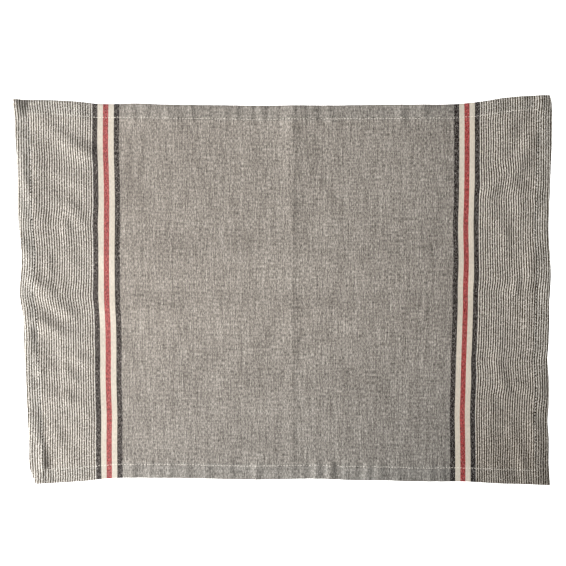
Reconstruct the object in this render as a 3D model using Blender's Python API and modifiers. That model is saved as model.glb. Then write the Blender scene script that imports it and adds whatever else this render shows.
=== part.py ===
"""Fabric placemat: one hemmed rectangle of striped table linen, lying on a table with its soft folds.

Metres, +Z up. X runs along the mat's long side, Y along its short side. The origin is on the
table under the middle of the mat, so the mat's underside touches Z = 0.
"""

import math
from collections import namedtuple

import bpy
import numpy as np

# Driving dimensions.
MAT_LENGTH = 0.500            # finished size along X
MAT_DEPTH = 0.350             # finished size along Y
CLOTH_THICKNESS = 0.0010      # one layer of the cloth
HEM_THICKNESS = 0.0021        # the double-turned hem, pressed and stitched
HEM_WIDTH = 0.0125            # edge of the mat to the inner fold of the hem
HEM_STEP = 0.0025             # over this width the face drops from the hem to the cloth
FIELD_ROWS = 52               # even divisions between the hems, along Y

# Divisions between the hems along X: up to `end` from the left, in `cells` even cells. They are
# close together at the loose ends and at the crease across the middle.
Span = namedtuple("Span", "end cells")
FIELD_COLUMNS = [Span(0.085, 13), Span(0.243, 9), Span(0.276, 6), Span(0.415, 8), Span(0.485, 13)]

# The outline. The cloth was cut and hemmed a little out of true, and its ends flare where the
# stripes' firmer weave keeps them from drawing in.
# Long edges: `x` is the place along the edge, `y` is where the edge runs there.
LongEdge = namedtuple("LongEdge", "x y")
# Short ends: `up` is the share of the way from the front corner to the back one.
ShortEnd = namedtuple("ShortEnd", "up x")

BACK_EDGE = [
    LongEdge(-0.2510, 0.1776), LongEdge(-0.2065, 0.1768), LongEdge(-0.1842, 0.1751),
    LongEdge(-0.1730, 0.1738), LongEdge(-0.1619, 0.1735), LongEdge(-0.1320, 0.1740),
    LongEdge(-0.1134, 0.1732), LongEdge(-0.0613, 0.1725), LongEdge(-0.0166, 0.1720),
    LongEdge(0.0057, 0.1722), LongEdge(0.0504, 0.1723), LongEdge(0.0800, 0.1728),
    LongEdge(0.1286, 0.1731), LongEdge(0.1621, 0.1736), LongEdge(0.1845, 0.1758),
    LongEdge(0.2068, 0.1793), LongEdge(0.2292, 0.1811), LongEdge(0.2510, 0.1820),
]
FRONT_EDGE = [
    LongEdge(-0.2510, -0.1814), LongEdge(-0.2252, -0.1798), LongEdge(-0.2065, -0.1788),
    LongEdge(-0.1842, -0.1773), LongEdge(-0.1619, -0.1750), LongEdge(-0.1172, -0.1744),
    LongEdge(-0.0715, -0.1750), LongEdge(-0.0501, -0.1756), LongEdge(-0.0166, -0.1759),
    LongEdge(0.0281, -0.1751), LongEdge(0.0728, -0.1766), LongEdge(0.0961, -0.1767),
    LongEdge(0.1147, -0.1774), LongEdge(0.1520, -0.1775), LongEdge(0.1706, -0.1775),
    LongEdge(0.1845, -0.1783), LongEdge(0.2079, -0.1796), LongEdge(0.2265, -0.1801),
    LongEdge(0.2510, -0.1813),
]
LEFT_END = [
    ShortEnd(0.000, -0.2292), ShortEnd(0.042, -0.2346), ShortEnd(0.100, -0.2352),
    ShortEnd(0.204, -0.2374), ShortEnd(0.263, -0.2380), ShortEnd(0.327, -0.2396),
    ShortEnd(0.400, -0.2403), ShortEnd(0.439, -0.2409), ShortEnd(0.478, -0.2437),
    ShortEnd(0.494, -0.2443), ShortEnd(0.556, -0.2432), ShortEnd(0.597, -0.2425),
    ShortEnd(0.635, -0.2438), ShortEnd(0.701, -0.2457), ShortEnd(0.826, -0.2467),
    ShortEnd(0.909, -0.2484), ShortEnd(1.000, -0.2500),
]
RIGHT_END = [
    ShortEnd(0.000, 0.2492), ShortEnd(0.045, 0.2481), ShortEnd(0.129, 0.2477),
    ShortEnd(0.165, 0.2469), ShortEnd(0.206, 0.2478), ShortEnd(0.244, 0.2481),
    ShortEnd(0.283, 0.2478), ShortEnd(0.326, 0.2467), ShortEnd(0.367, 0.2478),
    ShortEnd(0.474, 0.2485), ShortEnd(0.551, 0.2498), ShortEnd(0.590, 0.2491),
    ShortEnd(0.628, 0.2481), ShortEnd(0.674, 0.2479), ShortEnd(0.743, 0.2489),
    ShortEnd(0.818, 0.2499), ShortEnd(0.896, 0.2510), ShortEnd(0.970, 0.2508),
    ShortEnd(0.988, 0.2503), ShortEnd(1.000, 0.2488),
]

# The folds: soft ridges that lift off the table. A crest runs straight from (x0, y0) to (x1, y1),
# `rise0` and `rise1` high at its two ends; `reach` is how far the cloth slopes down to the table.
Ridge = namedtuple("Ridge", "x0 y0 x1 y1 reach rise0 rise1")

# Pressed creases, sharp along their crest. They add to what lies under them.
CREASES = [
    # across the middle, sprung up most at the back edge
    Ridge(0.0097, 0.1730, 0.0094, 0.0800, 0.0200, 0.0026, 0.0012),
    Ridge(0.0094, 0.0800, 0.0090, -0.1770, 0.0085, 0.0006, 0.0006),
    # along the middle, where the cloth was folded the other way
    Ridge(-0.1500, 0.0115, 0.1560, 0.0115, 0.0100, 0.0006, 0.0006),
    # the pinched pleat at the front left corner
    Ridge(-0.2232, -0.1430, -0.2216, -0.1640, 0.0045, 0.0005, 0.0011),
    Ridge(-0.2226, -0.1650, -0.2210, -0.1790, 0.0034, 0.0006, 0.0006),
    Ridge(-0.2178, -0.1660, -0.2158, -0.1790, 0.0040, 0.0008, 0.0006),
]
# Broad, low swells. They add to what lies under them.
SWELLS = [
    # the cloth stands up softly on both sides of the crease along the middle
    Ridge(-0.1500, -0.0180, 0.1500, -0.0180, 0.0220, 0.0013, 0.0013),
    Ridge(-0.1500, 0.0310, 0.1500, 0.0310, 0.0280, 0.0015, 0.0015),
    # right end: all along the stripes, and more towards the front corner
    Ridge(0.2010, 0.0900, 0.2005, -0.1600, 0.0300, 0.0003, 0.0003),
    Ridge(0.1700, -0.0900, 0.1700, -0.1650, 0.0700, 0.0014, 0.0018),
    # left end: the hem's edge stays up towards the front corner
    Ridge(-0.2420, 0.0560, -0.2375, -0.0540, 0.0110, 0.0003, 0.0005),
    Ridge(-0.2375, -0.0540, -0.2350, -0.1640, 0.0130, 0.0009, 0.0010),
]
# The main folds of the two loose ends. Where they meet, the higher one holds the cloth up.
RIDGES = [
    # left end: lifted corner, the hem beside it, and the fold that runs in to the stripes
    Ridge(-0.2478, 0.1800, -0.2472, 0.1715, 0.0118, 0.0062, 0.0052),
    Ridge(-0.2469, 0.1400, -0.2428, 0.1257, 0.0149, 0.0006, 0.0008),
    Ridge(-0.2400, 0.1164, -0.2372, 0.0764, 0.0242, 0.0006, 0.0006),
    Ridge(-0.2040, 0.1410, -0.1840, 0.1285, 0.0125, 0.0009, 0.0020),
    # left end: short slanting waves in front of the lengthwise crease
    Ridge(-0.2288, 0.0065, -0.2158, -0.0018, 0.0102, 0.0012, 0.0012),
    Ridge(-0.2176, -0.0074, -0.2009, -0.0195, 0.0102, 0.0012, 0.0012),
    Ridge(-0.2269, -0.0288, -0.2064, -0.0400, 0.0102, 0.0014, 0.0014),
    Ridge(-0.2046, -0.0409, -0.1804, -0.0456, 0.0130, 0.0010, 0.0010),
    Ridge(-0.2158, -0.0977, -0.1804, -0.1043, 0.0121, 0.0009, 0.0009),
    # left end: the pinched pleat at the front corner
    Ridge(-0.2316, -0.1285, -0.2241, -0.1452, 0.0074, 0.0005, 0.0009),
    Ridge(-0.2241, -0.1452, -0.2232, -0.1620, 0.0074, 0.0010, 0.0014),
    Ridge(-0.2251, -0.1638, -0.2269, -0.1750, 0.0074, 0.0012, 0.0012),
    # right end: the back corner, and the slanting folds that run from it to the stripes
    Ridge(0.2404, 0.1806, 0.2404, 0.1720, 0.0074, 0.0016, 0.0016),
    Ridge(0.2200, 0.1732, 0.2125, 0.1471, 0.0130, 0.0010, 0.0010),
    Ridge(0.2004, 0.1769, 0.2013, 0.1500, 0.0150, 0.0008, 0.0008),
    Ridge(0.2293, 0.1350, 0.2144, 0.1062, 0.0121, 0.0019, 0.0019),
    Ridge(0.2106, 0.1136, 0.1939, 0.0931, 0.0112, 0.0017, 0.0017),
    # right end: waves at the hem and by the lengthwise crease
    Ridge(0.2442, 0.1695, 0.2451, 0.1397, 0.0093, 0.0008, 0.0008),
    Ridge(0.2404, 0.1024, 0.2377, 0.0838, 0.0084, 0.0008, 0.0008),
    Ridge(0.2442, 0.0726, 0.2442, 0.0503, 0.0060, 0.0008, 0.0008),
    Ridge(0.2311, 0.0317, 0.2302, 0.0093, 0.0084, 0.0012, 0.0012),
    Ridge(0.2181, 0.0093, 0.2162, 0.0000, 0.0065, 0.0012, 0.0012),
    Ridge(0.2460, 0.0075, 0.2470, -0.0065, 0.0112, 0.0010, 0.0010),
    # right end: the cross fold further front, and the slack that runs out from it
    Ridge(0.2051, -0.0503, 0.2321, -0.0530, 0.0074, 0.0010, 0.0013),
    Ridge(0.2004, -0.0540, 0.1995, -0.0660, 0.0110, 0.0009, 0.0009),
    Ridge(0.2004, -0.0689, 0.2069, -0.0893, 0.0093, 0.0014, 0.0014),
    Ridge(0.2162, -0.0856, 0.2330, -0.0949, 0.0074, 0.0012, 0.0012),
    # right end: the hem rolls down to its edge in front
    Ridge(0.2395, -0.0790, 0.2395, -0.1070, 0.0100, 0.0011, 0.0011),
    Ridge(0.2367, -0.1350, 0.2376, -0.1725, 0.0110, 0.0012, 0.0012),
]
END_TAPER = 1.6               # folds run out this much more gently past their ends
BLEND = 5.0                   # how closely folds that meet keep the height of the higher
BLEND_UNIT = 0.001            # height at which they are compared

CLOTH_COLOUR = (0.330, 0.295, 0.255, 1.0)
CLOTH_ROUGHNESS = 0.92


def clear_scene():
    """Remove every object that the file opened with."""
    for obj in list(bpy.data.objects):
        bpy.data.objects.remove(obj, do_unlink=True)


def smooth_through(rows, place):
    """Read a two-column edge table at a place, along a smooth curve through all its rows."""
    stops = np.array([row[0] for row in rows])
    values = np.array([row[1] for row in rows])
    slopes = np.gradient(values, stops)
    place = min(max(place, stops[0]), stops[-1])
    low = min(int(np.searchsorted(stops, place, side="right")) - 1, len(rows) - 2)
    span = stops[low + 1] - stops[low]
    t = (place - stops[low]) / span
    return (
        (1.0 + 2.0 * t) * (1.0 - t) ** 2 * values[low]
        + t * (1.0 - t) ** 2 * span * slopes[low]
        + t * t * (3.0 - 2.0 * t) * values[low + 1]
        - t * t * (1.0 - t) * span * slopes[low + 1]
    )


def lie_of(across, up):
    """Where a point of the flat cloth lies on the table, from its shares along X and Y."""
    left = smooth_through(LEFT_END, up)
    right = smooth_through(RIGHT_END, up)
    x = left + (right - left) * across
    front = smooth_through(FRONT_EDGE, x)
    back = smooth_through(BACK_EDGE, x)
    return x, front + (back - front) * up


def lift_by(ridge, x, y, sharp=False):
    """Height that one ridge gives the cloth over the table at (x, y)."""
    run_x = ridge.x1 - ridge.x0
    run_y = ridge.y1 - ridge.y0
    run = math.hypot(run_x, run_y)
    along = ((x - ridge.x0) * run_x + (y - ridge.y0) * run_y) / run
    aside = ((x - ridge.x0) * run_y - (y - ridge.y0) * run_x) / run
    past = max(-along, along - run, 0.0) / END_TAPER
    away = min(math.hypot(aside, past) / ridge.reach, 1.0)
    share = (1.0 - away) ** 2 if sharp else math.cos(0.5 * math.pi * away) ** 2
    part = min(max(along / run, 0.0), 1.0)
    return (ridge.rise0 + (ridge.rise1 - ridge.rise0) * part) * share


def lift(x, y):
    """Height of the cloth's underside over the table."""
    folds = sum((lift_by(ridge, x, y) / BLEND_UNIT) ** BLEND for ridge in RIDGES)
    height = folds ** (1.0 / BLEND) * BLEND_UNIT
    height += sum(lift_by(swell, x, y) for swell in SWELLS)
    return height + sum(lift_by(crease, x, y, sharp=True) for crease in CREASES)


def field_columns():
    """Places of the grid lines across the cloth between its hems, along X."""
    places = [HEM_WIDTH + HEM_STEP]
    for span in FIELD_COLUMNS:
        start = places[-1]
        places += [start + (span.end - start) * (i + 1) / span.cells for i in range(span.cells)]
    return places


def field_rows():
    """Places of the grid lines across the cloth between its hems, along Y."""
    start = HEM_WIDTH + HEM_STEP
    field = MAT_DEPTH - 2.0 * start
    return [start + field * i / FIELD_ROWS for i in range(FIELD_ROWS + 1)]


def stations(size, field):
    """Places of all the grid lines: two cells in each hem, its step, and the field's own."""
    hem = [0.0, 0.5 * HEM_WIDTH, HEM_WIDTH]
    return hem + field + [size - place for place in reversed(hem)]


def cloth_material():
    """Heathered grey-beige linen and cotton, dry and matt."""
    material = bpy.data.materials.new("striped_linen")
    material.use_nodes = True
    shader = material.node_tree.nodes["Principled BSDF"]
    shader.inputs["Base Color"].default_value = CLOTH_COLOUR
    shader.inputs["Roughness"].default_value = CLOTH_ROUGHNESS
    shader.inputs["Metallic"].default_value = 0.0
    return material


def make_mat(collection):
    """The mat: a grid of the cloth laid in its outline and folds, given its thickness."""
    columns = stations(MAT_LENGTH, field_columns())
    rows = stations(MAT_DEPTH, field_rows())
    bpy.ops.mesh.primitive_grid_add(
        x_subdivisions=len(columns) - 1, y_subdivisions=len(rows) - 1, size=1.0)
    mat = bpy.context.object
    mat.name = mat.data.name = "mat_cloth"

    hem = mat.vertex_groups.new(name="hem")
    for vertex in mat.data.vertices:
        place_x = columns[round((vertex.co.x + 0.5) * (len(columns) - 1))]
        place_y = rows[round((vertex.co.y + 0.5) * (len(rows) - 1))]
        x, y = lie_of(place_x / MAT_LENGTH, place_y / MAT_DEPTH)
        vertex.co = (x, y, lift(x, y))
        edge_distance = min(place_x, MAT_LENGTH - place_x, place_y, MAT_DEPTH - place_y)
        if edge_distance < HEM_WIDTH + 0.5 * HEM_STEP:
            hem.add([vertex.index], 1.0, "REPLACE")

    body = mat.modifiers.new("thickness", "SOLIDIFY")
    body.thickness = HEM_THICKNESS
    body.offset = 1.0
    body.vertex_group = hem.name
    body.thickness_vertex_group = CLOTH_THICKNESS / HEM_THICKNESS
    mat.data.materials.append(cloth_material())

    for old in list(mat.users_collection):
        old.objects.unlink(mat)
    collection.objects.link(mat)
    return mat


def main():
    clear_scene()
    collection = bpy.data.collections.new("fabric_placemat")
    bpy.context.scene.collection.children.link(collection)
    make_mat(collection)


main()
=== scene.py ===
"""Fabric placemat, dressed: striped cloth with turned hems, their stitching, a plain studio.

Metres, +Z up, X along the mat's long side. The cloth lies in the outline and folds of the solid
that it replaces.
"""

from __future__ import annotations

import logging
import math
from dataclasses import dataclass
from enum import Enum
from typing import NamedTuple, Optional, Union

import bpy
import numpy as np
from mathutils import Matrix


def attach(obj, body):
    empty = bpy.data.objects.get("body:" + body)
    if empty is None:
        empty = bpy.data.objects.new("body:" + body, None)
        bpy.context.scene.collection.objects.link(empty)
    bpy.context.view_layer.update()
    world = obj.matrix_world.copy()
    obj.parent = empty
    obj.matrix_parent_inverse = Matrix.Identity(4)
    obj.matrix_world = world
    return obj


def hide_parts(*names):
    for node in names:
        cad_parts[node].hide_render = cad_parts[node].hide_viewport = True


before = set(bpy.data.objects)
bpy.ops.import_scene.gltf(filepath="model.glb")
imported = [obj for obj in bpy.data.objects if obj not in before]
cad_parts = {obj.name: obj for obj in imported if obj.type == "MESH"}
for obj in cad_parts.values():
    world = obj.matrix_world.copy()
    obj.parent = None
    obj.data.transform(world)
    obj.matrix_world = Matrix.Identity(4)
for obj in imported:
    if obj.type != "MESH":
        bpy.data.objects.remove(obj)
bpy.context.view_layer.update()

LOG = logging.getLogger("placemat")
NODE = "mat_cloth"
BODY = "root"
MM = 0.001
LAY_MAP = "cloth_lay"       # UV map: place on the flat cloth, in metres from the mat's middle
SEAM_MAP = "seam_lay"       # UV map: place on the flat mat, in metres from its front left corner
HEM_MARK = "hem_layers"     # point attribute: 1 on the hem, 0 on the single cloth


# ---------------------------------------------------------------------------
# How the cloth lies
# ---------------------------------------------------------------------------

class LongEdge(NamedTuple):
    """A point of the back or front edge."""

    x: float
    y: float


class ShortEnd(NamedTuple):
    """A point of the left or right end: share of the way up it, and where it stands."""

    up: float
    x: float


class StripeLine(NamedTuple):
    """A point of a red stripe's middle line."""

    y: float
    x: float


class Ridge(NamedTuple):
    """A soft fold: its crest from (x0, y0) to (x1, y1), its reach to each side, its height.

    `rise1` is the height at the crest's second end, where it isn't the same as at the first.
    """

    x0: float
    y0: float
    x1: float
    y1: float
    reach: float
    rise0: float
    rise1: Optional[float] = None


class Sway(NamedTuple):
    """A place where the stripes are pulled sideways, by `shift` at (x, y)."""

    x: float
    y: float
    reach_x: float
    reach_y: float
    shift: float


class Pucker(NamedTuple):
    """A small ripple across a sewn hem."""

    x: float
    reach: float
    rise: float


def table(kind: type, *rows: tuple) -> tuple:
    """Name the columns of rows given in millimetres, and thousandths for a share."""
    return tuple(kind(*(number * MM for number in row)) for row in rows)


def smooth_through(rows: tuple, place: np.ndarray) -> np.ndarray:
    """Read a two-column table along a smooth curve through all its rows.

    Args:
        rows: The table, in order of its first column.
        place: Values of the first column to read the table at.

    Returns:
        The second column at each place, level past the table's ends.
    """
    stops = np.array([row[0] for row in rows])
    values = np.array([row[1] for row in rows])
    slopes = np.gradient(values, stops)
    place = np.clip(place, stops[0], stops[-1])
    low = np.clip(np.searchsorted(stops, place, side="right") - 1, 0, len(rows) - 2)
    span = stops[low + 1] - stops[low]
    t = (place - stops[low]) / span
    return (
        (1.0 + 2.0 * t) * (1.0 - t) ** 2 * values[low]
        + t * (1.0 - t) ** 2 * span * slopes[low]
        + t * t * (3.0 - 2.0 * t) * values[low + 1]
        - t * t * (1.0 - t) * span * slopes[low + 1]
    )


def smooth_step(share: np.ndarray) -> np.ndarray:
    """Ease from 0 to 1 as share goes from 0 to 1."""
    share = np.clip(share, 0.0, 1.0)
    return share * share * (3.0 - 2.0 * share)


@dataclass(frozen=True)
class MatLay:
    """The mat as it lies: outline, folds, and the way its stripes run."""

    length: float = 0.500
    depth: float = 0.350
    back_edge: tuple = table(
        LongEdge,
        (-251, 177.6), (-206.5, 176.8), (-184.2, 175.1), (-173, 173.8), (-161.9, 173.5),
        (-132, 174), (-113.4, 173.2), (-61.3, 172.5), (-16.6, 172), (5.7, 172.2), (50.4, 172.3),
        (80, 172.8), (128.6, 173.1), (162.1, 173.6), (184.5, 175.8), (206.8, 179.3),
        (229.2, 181.1), (251, 182),
    )
    front_edge: tuple = table(
        LongEdge,
        (-251, -181.4), (-225.2, -179.8), (-206.5, -178.8), (-184.2, -177.3), (-161.9, -175),
        (-117.2, -174.4), (-71.5, -175), (-50.1, -175.6), (-16.6, -175.9), (28.1, -175.1),
        (72.8, -176.6), (96.1, -176.7), (114.7, -177.4), (152, -177.5), (170.6, -177.5),
        (184.5, -178.3), (207.9, -179.6), (226.5, -180.1), (251, -181.3),
    )
    left_end: tuple = table(
        ShortEnd,
        (0, -229.2), (42, -234.6), (100, -235.2), (204, -237.4), (263, -238), (327, -239.6),
        (400, -240.3), (439, -240.9), (478, -243.7), (494, -244.3), (556, -243.2), (597, -242.5),
        (635, -243.8), (701, -245.7), (826, -246.7), (909, -248.4), (1000, -250),
    )
    right_end: tuple = table(
        ShortEnd,
        (0, 249.2), (45, 248.1), (129, 247.7), (165, 246.9), (206, 247.8), (244, 248.1),
        (283, 247.8), (326, 246.7), (367, 247.8), (474, 248.5), (551, 249.8), (590, 249.1),
        (628, 248.1), (674, 247.9), (743, 248.9), (818, 249.9), (896, 251), (970, 250.8),
        (988, 250.3), (1000, 248.8),
    )
    creases: tuple = table(
        Ridge,
        # across the middle, sprung up most at the back edge
        (9.7, 173, 9.4, 80, 20, 2.6, 1.2), (9.4, 80, 9, -177, 8.5, 0.6),
        # along the middle, where the cloth was folded the other way
        (-150, 11.5, 156, 11.5, 10, 0.6),
        # the pinched pleat at the front left corner
        (-223.2, -143, -221.6, -164, 4.5, 0.5, 1.1), (-222.6, -165, -221, -179, 3.4, 0.6),
        (-217.8, -166, -215.8, -179, 4, 0.8, 0.6),
    )
    swells: tuple = table(
        Ridge,
        # the cloth stands up softly on both sides of the crease along the middle
        (-150, -18, 150, -18, 22, 1.3), (-150, 31, 150, 31, 28, 1.5),
        # right end: all along the stripes, and more towards the front corner
        (201, 90, 200.5, -160, 30, 0.3), (170, -90, 170, -165, 70, 1.4, 1.8),
        # left end: the hem's edge stays up towards the front corner
        (-242, 56, -237.5, -54, 11, 0.3, 0.5), (-237.5, -54, -235, -164, 13, 0.9, 1),
    )
    ridges: tuple = table(
        Ridge,
        # left end: lifted corner, the hem beside it, and the fold that runs in to the stripes
        (-247.8, 180, -247.2, 171.5, 11.8, 6.2, 5.2), (-246.9, 140, -242.8, 125.7, 14.9, 0.6, 0.8),
        (-240, 116.4, -237.2, 76.4, 24.2, 0.6), (-204, 141, -184, 128.5, 12.5, 0.9, 2),
        # left end: short slanting waves in front of the lengthwise crease
        (-228.8, 6.5, -215.8, -1.8, 10.2, 1.2), (-217.6, -7.4, -200.9, -19.5, 10.2, 1.2),
        (-226.9, -28.8, -206.4, -40, 10.2, 1.4), (-204.6, -40.9, -180.4, -45.6, 13, 1),
        (-215.8, -97.7, -180.4, -104.3, 12.1, 0.9),
        # left end: the pinched pleat at the front corner
        (-231.6, -128.5, -224.1, -145.2, 7.4, 0.5, 0.9),
        (-224.1, -145.2, -223.2, -162, 7.4, 1, 1.4), (-225.1, -163.8, -226.9, -175, 7.4, 1.2),
        # right end: the back corner, and the slanting folds that run from it to the stripes
        (240.4, 180.6, 240.4, 172, 7.4, 1.6), (220, 173.2, 212.5, 147.1, 13, 1),
        (200.4, 176.9, 201.3, 150, 15, 0.8), (229.3, 135, 214.4, 106.2, 12.1, 1.9),
        (210.6, 113.6, 193.9, 93.1, 11.2, 1.7),
        # right end: waves at the hem and by the lengthwise crease
        (244.2, 169.5, 245.1, 139.7, 9.3, 0.8), (240.4, 102.4, 237.7, 83.8, 8.4, 0.8),
        (244.2, 72.6, 244.2, 50.3, 6, 0.8), (231.1, 31.7, 230.2, 9.3, 8.4, 1.2),
        (218.1, 9.3, 216.2, 0, 6.5, 1.2), (246, 7.5, 247, -6.5, 11.2, 1),
        # right end: the cross fold further front, and the slack that runs out from it
        (205.1, -50.3, 232.1, -53, 7.4, 1, 1.3), (200.4, -54, 199.5, -66, 11, 0.9),
        (200.4, -68.9, 206.9, -89.3, 9.3, 1.4), (216.2, -85.6, 233, -94.9, 7.4, 1.2),
        # right end: the hem rolls down to its edge in front
        (239.5, -79, 239.5, -107, 10, 1.1), (236.7, -135, 237.6, -172.5, 11, 1.2),
    )
    wrinkles: tuple = table(
        Ridge,
        # left end, from back to front
        (-188.8, 175, -187.8, 162.9, 7.4, 0.7), (-241.8, 122.9, -240.4, 106.2, 7.4, 1.1),
        (-228.8, 121, -226.9, 105.2, 10.2, 0.6), (-237.2, 96.8, -232.5, 83.8, 9.3, 0.8),
        (-228.8, 81.9, -225.1, 70.8, 11.2, 0.7), (-241.8, 81, -240, 72.6, 8.4, 0.6),
        (-195.3, 76.4, -184.1, 61.5, 9.3, 0.8), (-201.8, 59.6, -199.9, 49.4, 7.4, 0.8),
        (-241.8, 48.4, -240.9, 39.1, 6.5, 0.6), (-217.6, 30.7, -216.7, 21.4, 6.5, 0.6),
        (-234.4, 26.1, -231.6, 13.1, 11.2, 1), (-204.6, 6.5, -202.7, -0.9, 7.4, 0.6),
        (-237.2, -24.2, -235.3, -34.4, 7.4, 0.9), (-234.4, -40, -232.5, -52.1, 6.5, 0.6),
        (-226, -52.1, -225.1, -76.3, 6.5, 0.4, 0.5), (-203.7, -56.8, -201.8, -69.8, 7.4, 0.5),
        (-191.6, -63.3, -178.5, -67, 8.4, 0.8), (-199, -76.3, -193.4, -83.8, 8.4, 0.7),
        (-225.1, -76.3, -224.1, -100.5, 6.5, 0.6, 0.5), (-233.4, -89.4, -231.6, -102.4, 7.4, 0.5),
        (-200.9, -91.2, -199, -99.6, 7.4, 0.6), (-186.9, -111.7, -180.4, -117.3, 7.4, 0.6),
        (-226.9, -121, -226, -133.1, 6.5, 0.6), (-213, -124.7, -209.2, -133.1, 7.4, 0.6),
        # right end, from back to front
        (222.7, 178.8, 224.6, 163.9, 8.4, 0.7), (210.6, 160.2, 211.6, 149, 8.4, 0.6),
        (206, 150.9, 203.2, 130.4, 9.3, 0.6), (220.9, 91.3, 220.9, 63.3, 7.4, 0.6),
        (186.4, 53.1, 203.2, 52.2, 7.4, 0.9), (207.9, 50.3, 208.8, 37.3, 7.4, 0.9),
        (237.6, 39.1, 238.6, 31.7, 7.4, 0.6), (210.6, -5.6, 216.2, -22.3, 8.4, 0.6),
        (233, -27.9, 246, -28.8, 7.4, 0.8), (226.5, -28.8, 227.4, -35.4, 6.5, 0.8),
        (183.6, -29.8, 185.5, -39.1, 7.4, 0.6), (193.9, -106.1, 194.8, -116.4, 7.4, 0.5),
        (231.1, -116.4, 232.1, -123.8, 6.5, 0.6), (212.5, -125.7, 213.4, -134, 6.5, 0.6),
        (193, -131.3, 193.9, -139.6, 7.4, 0.5), (220.9, -148, 221.8, -158.3, 7.4, 0.8),
        (224.6, -165.7, 225.5, -178.7, 7.4, 1),
        # between the stripes: slack by the crease, and near the back hem
        (26, 160, 23, 120, 12, 0.6, 0.4), (-33, 150, -30, 90, 12, 0.3), (40, 90, 48, 30, 12, 0.3),
        (-100, -20, -94, -80, 14, 0.3),
    )
    left_red: tuple = table(
        StripeLine,
        (-180, -160.8), (-158.2, -160.9), (-143.3, -161.1), (-113.6, -161), (-98.7, -161.5),
        (-83.8, -161.9), (-54, -161.9), (-24.2, -162.5), (-9.3, -163.2), (35.4, -163.5),
        (95, -163.6), (109.9, -163.9), (124.8, -164.4), (154.6, -164.4), (178, -164),
    )
    right_red: tuple = table(
        StripeLine,
        (-180, 167.7), (-143.3, 167.7), (-113.6, 167.4), (-98.7, 167.8), (-68.9, 168.6),
        (-39.1, 169.6), (-9.3, 170.4), (5.6, 170.6), (20.5, 171.1), (65.2, 170.9), (80.1, 171.4),
        (109.9, 171.9), (154.6, 171.9), (178, 171.6),
    )
    sways: tuple = table(
        Sway,
        # both ends are drawn in a little, most in their middle
        (-205, 0, 25, 1000, 0.2), (245, 0, 50, 1000, 0.3), (196, 169, 25, 8, 0.5),
        # left end, from back to front
        (-215, 176, 45, 9, -1.6), (-234.4, 176.9, 11, 10, -0.7), (-188, 179, 20, 9, 0.7),
        (-188, 135, 15, 13, -0.4), (-220, 125, 16, 10, 0.8), (-205, 61, 50, 11, -1.2),
        (-230, 63, 14, 20, -0.5), (-226, 29, 25, 12, 0.5), (-222, -4, 33, 11, -2.1),
        (-188, -5, 18, 9, -0.6), (-236, 4, 10, 11, -0.7), (-232, -43, 25, 12, 0.7),
        (-203, -88, 16, 8.5, 0.6), (-232, -115, 26, 45, 1), (-235, -147, 9, 11, -0.6),
        (-220, -172, 42, 8.5, 0.8), (-195, 115, 20, 11, 0.4), (-233, 126, 10, 12, 0.5),
        (-205, 78, 12, 7, 0.3), (-180, -46, 10, 6, -0.4), (-200, -133, 15, 10, 0.4),
        # right end, from back to front
        (248, 177, 30, 11, 1.3), (200, 156, 17, 13, -0.5), (197, 119, 11, 8.5, -0.6),
        (225, 116, 12, 8.5, 0.4), (207, 108, 16, 10, 1.4), (191, 96, 11, 8, 0.6),
        (220, 87, 40, 7, -0.8), (198, 80, 13, 6.5, -0.5), (244, 24, 14, 17, 1.2),
        (214, 11, 33, 11, 1.2), (201, -2, 22, 6, -0.5), (210, -66, 45, 8, -0.9),
        (192, -76, 13, 8.5, 0.6), (215, -88, 33, 8, 1), (196, -99, 11, 8, -0.5),
        (244, -99, 11, 8.5, 0.9), (211, -125, 20, 13, -0.4), (224, -162, 19, 18, -1.1),
        (200, -161, 12, 10, -0.7), (206, 103, 15, 12, -0.3), (245, 15, 8, 150, 0.3),
    )
    band_place: float = 0.1672      # middle of the mat to the red stripe, on the flat cloth
    left_stretch: float = 1.0180    # the ends lie drawn together a little
    right_stretch: float = 1.0650
    right_gather: float = 0.065     # inner side of the right band, drawn together as much
    gather_reach: float = 0.030
    sway_start: float = 0.0080      # sways fade out this near to a red stripe
    taper: float = 1.6              # folds run out this much more gently past their ends
    blend: float = 5.0              # how closely ridges that meet keep the height of the higher
    crumple_seed: int = 11          # draws the waves
    crumple_waves: int = 9          # gentle waves that cross each other all over
    crumple_length: tuple = (0.017, 0.034)
    crumple_bend: tuple = (1.2, 0.031)      # they bend by this much, over this length / 2 pi
    crumple_field: float = 0.00003  # height of each between the stripes
    crumple_end: float = 0.00009    # and past them, where the cloth lies looser
    loose_reach: float = 0.030      # it gets looser over this width
    ripple_waves: int = 7           # smaller ones, past the stripes only
    ripple_length: tuple = (0.009, 0.016)
    ripple_end: float = 0.00003

    def place(self, across: np.ndarray, up: np.ndarray) -> tuple[np.ndarray, np.ndarray]:
        """Where points of the flat mat lie on the table.

        Args:
            across: Shares of the mat's length, from the left end.
            up: Shares of the mat's depth, from the front edge.

        Returns:
            Their x and y.
        """
        left = smooth_through(self.left_end, up)
        right = smooth_through(self.right_end, up)
        x = left + (right - left) * across
        front = smooth_through(self.front_edge, x)
        back = smooth_through(self.back_edge, x)
        return x, front + (back - front) * up

    def lift(self, x: np.ndarray, y: np.ndarray) -> np.ndarray:
        """Height of the cloth over the table: ridges that meet run smoothly together.

        Args:
            x: Places along the mat.
            y: Places across it.

        Returns:
            The height of its underside at each place.
        """
        folds = sum((self.bell(ridge, x, y) / MM) ** self.blend for ridge in self.ridges)
        height = folds ** (1.0 / self.blend) * MM
        height += sum(self.bell(row, x, y) for row in (*self.swells, *self.wrinkles))
        return height + sum(self.bell(crease, x, y, True) for crease in self.creases)

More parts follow.
